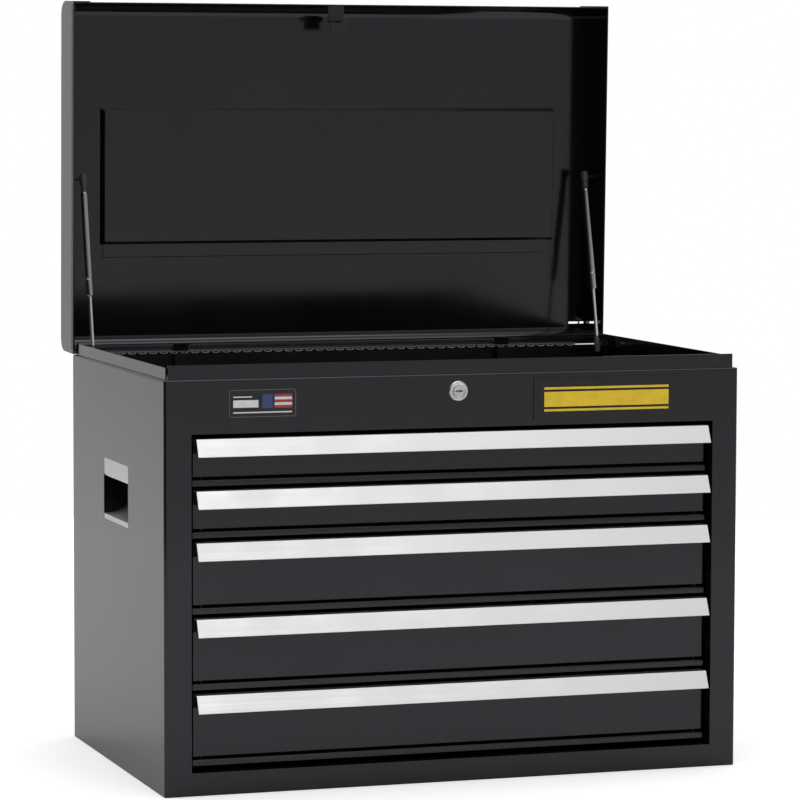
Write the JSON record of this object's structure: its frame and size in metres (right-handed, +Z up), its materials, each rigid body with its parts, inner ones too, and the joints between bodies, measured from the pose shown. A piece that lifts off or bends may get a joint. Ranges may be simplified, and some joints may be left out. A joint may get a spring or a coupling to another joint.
{
  "type": "machinist tool chest",
  "caption": "Sheet-steel tool chest with sliding drawers, a till under a propped hinged lid, a key lock and rolled hand holes.",
  "frame": {"origin": "middle of the flat base, on the surface that the chest stands on", "axes": "+Z up, -Y towards the drawer fronts, +X to the right of someone facing the front"},
  "size_m": [0.66, 0.475, 0.8551],
  "materials": {
    "black_paint": "glossy black paint over sheet steel",
    "pull_aluminium": "satin anodised aluminium extrusion",
    "zinc_steel": "zinc-plated steel",
    "bright_nickel": "satin nickel plate",
    "grey_steel": "darkened oiled steel",
    "plate_black": "black plate with a plain yellow band",
    "label_print": "dark printed film with plain pale bars and colour fields",
    "strut_black": "dark metallic tube",
    "rod_bright": "polished rod",
    "hinge_black": "blackened steel",
    "liner_bright": "bright rolled strip",
    "strut_end_grey": "dark grey plastic"
  },
  "bodies": {
    "case": {"left_side_panel": "black_paint", "right_side_panel": "black_paint", "back_panel": "black_paint", "bottom_pan": "black_paint", "front_fascia": "black_paint", "stiles": "black_paint", "bottom_rail": "black_paint", "till_floor": "black_paint", "slide_uprights": "black_paint", "slide_channels": "zinc_steel", "hand_hole_liners": "liner_bright", "name_plate": "plate_black", "small_label": "label_print", "lock_housing": "bright_nickel", "lock_nut": "bright_nickel", "hinge_case_leaf": "hinge_black", "hinge_pin": "hinge_black", "strut_brackets": "grey_steel", "bar_guides": "zinc_steel", "guide_rivets": "zinc_steel"},
    "lid": {"lid_skin": "black_paint", "lid_left_end": "black_paint", "lid_right_end": "black_paint", "lid_strike": "hinge_black", "strike_rivets": "hinge_black", "hinge_lid_leaf": "hinge_black", "lid_ball_studs": "grey_steel", "bar_pressers": "grey_steel"},
    "lock": {"lock_plug": "bright_nickel", "lock_cam": "grey_steel", "cam_nut": "bright_nickel"},
    "left_bar": {"left_lock_bar": "grey_steel", "left_bar_hooks": "grey_steel", "left_bar_spring": "zinc_steel"},
    "left_tube": {"left_strut_tube": "strut_black", "left_strut_eye": "strut_end_grey"},
    "left_rod": {"left_strut_rod": "rod_bright", "left_strut_socket": "strut_end_grey"},
    "right_bar": {"right_lock_bar": "grey_steel", "right_bar_hooks": "grey_steel", "right_bar_spring": "zinc_steel"},
    "right_tube": {"right_strut_tube": "strut_black", "right_strut_eye": "strut_end_grey"},
    "right_rod": {"right_strut_rod": "rod_bright", "right_strut_socket": "strut_end_grey"},
    "drawer_1": {"drawer_1_tray": "black_paint", "drawer_1_pull": "pull_aluminium", "drawer_1_runners": "zinc_steel"},
    "drawer_2": {"drawer_2_tray": "black_paint", "drawer_2_pull": "pull_aluminium", "drawer_2_runners": "zinc_steel"},
    "drawer_3": {"drawer_3_tray": "black_paint", "drawer_3_pull": "pull_aluminium", "drawer_3_runners": "zinc_steel"},
    "drawer_4": {"drawer_4_tray": "black_paint", "drawer_4_pull": "pull_aluminium", "drawer_4_runners": "zinc_steel"},
    "drawer_5": {"drawer_5_tray": "black_paint", "drawer_5_pull": "pull_aluminium", "drawer_5_runners": "zinc_steel"}
  },
  "joints": [
    {"name": "lid_hinge", "type": "hinge", "parent": "case", "child": "lid", "pos_m": [0, 0.203, 0.447], "axis": [1, 0, 0], "range_deg": [0, 88.66]},
    {"name": "lock_turn", "type": "hinge", "parent": "case", "child": "lock", "pos_m": [0, -0.203, 0.4284], "axis": [0, -1, 0], "range_deg": [0, 90]},
    {"name": "left_bar_slide", "type": "slide", "parent": "case", "child": "left_bar", "axis": [0, 0, -1], "range_m": [0, 0.006], "deforming": ["left_bar_spring"]},
    {"name": "left_strut_turn", "type": "hinge", "parent": "lid", "child": "left_tube", "pos_m": [-0.312, 0.22328, 0.64903], "axis": [1, 0, 0], "range_deg": [0, 5.84]},
    {"name": "left_strut_slide", "type": "slide", "parent": "left_tube", "child": "left_rod", "axis": [0, 0.2205, 0.9754], "range_m": [0, 0.0299]},
    {"name": "right_bar_slide", "type": "slide", "parent": "case", "child": "right_bar", "axis": [0, 0, -1], "range_m": [0, 0.006], "deforming": ["right_bar_spring"]},
    {"name": "right_strut_turn", "type": "hinge", "parent": "lid", "child": "right_tube", "pos_m": [0.312, 0.22328, 0.64903], "axis": [1, 0, 0], "range_deg": [0, 5.84]},
    {"name": "right_strut_slide", "type": "slide", "parent": "right_tube", "child": "right_rod", "axis": [0, 0.2205, 0.9754], "range_m": [0, 0.0299]},
    {"name": "drawer_1_slide", "type": "slide", "parent": "case", "child": "drawer_1", "axis": [0, -1, 0], "range_m": [0, 0.3]},
    {"name": "drawer_2_slide", "type": "slide", "parent": "case", "child": "drawer_2", "axis": [0, -1, 0], "range_m": [0, 0.3]},
    {"name": "drawer_3_slide", "type": "slide", "parent": "case", "child": "drawer_3", "axis": [0, -1, 0], "range_m": [0, 0.3]},
    {"name": "drawer_4_slide", "type": "slide", "parent": "case", "child": "drawer_4", "axis": [0, -1, 0], "range_m": [0, 0.3]},
    {"name": "drawer_5_slide", "type": "slide", "parent": "case", "child": "drawer_5", "axis": [0, -1, 0], "range_m": [0, 0.3]}
  ],
  "couplings": [
    {"joint": "left_bar_slide", "follows": "lid_hinge", "m_per_rad": 0.003877},
    {"joint": "left_strut_turn", "follows": "lid_hinge", "ratio": 0.065795},
    {"joint": "left_strut_slide", "follows": "lid_hinge", "m_per_rad": 0.019259},
    {"joint": "right_bar_slide", "follows": "lid_hinge", "m_per_rad": 0.003877},
    {"joint": "right_strut_turn", "follows": "lid_hinge", "ratio": 0.065795},
    {"joint": "right_strut_slide", "follows": "lid_hinge", "m_per_rad": 0.019259}
  ]
}
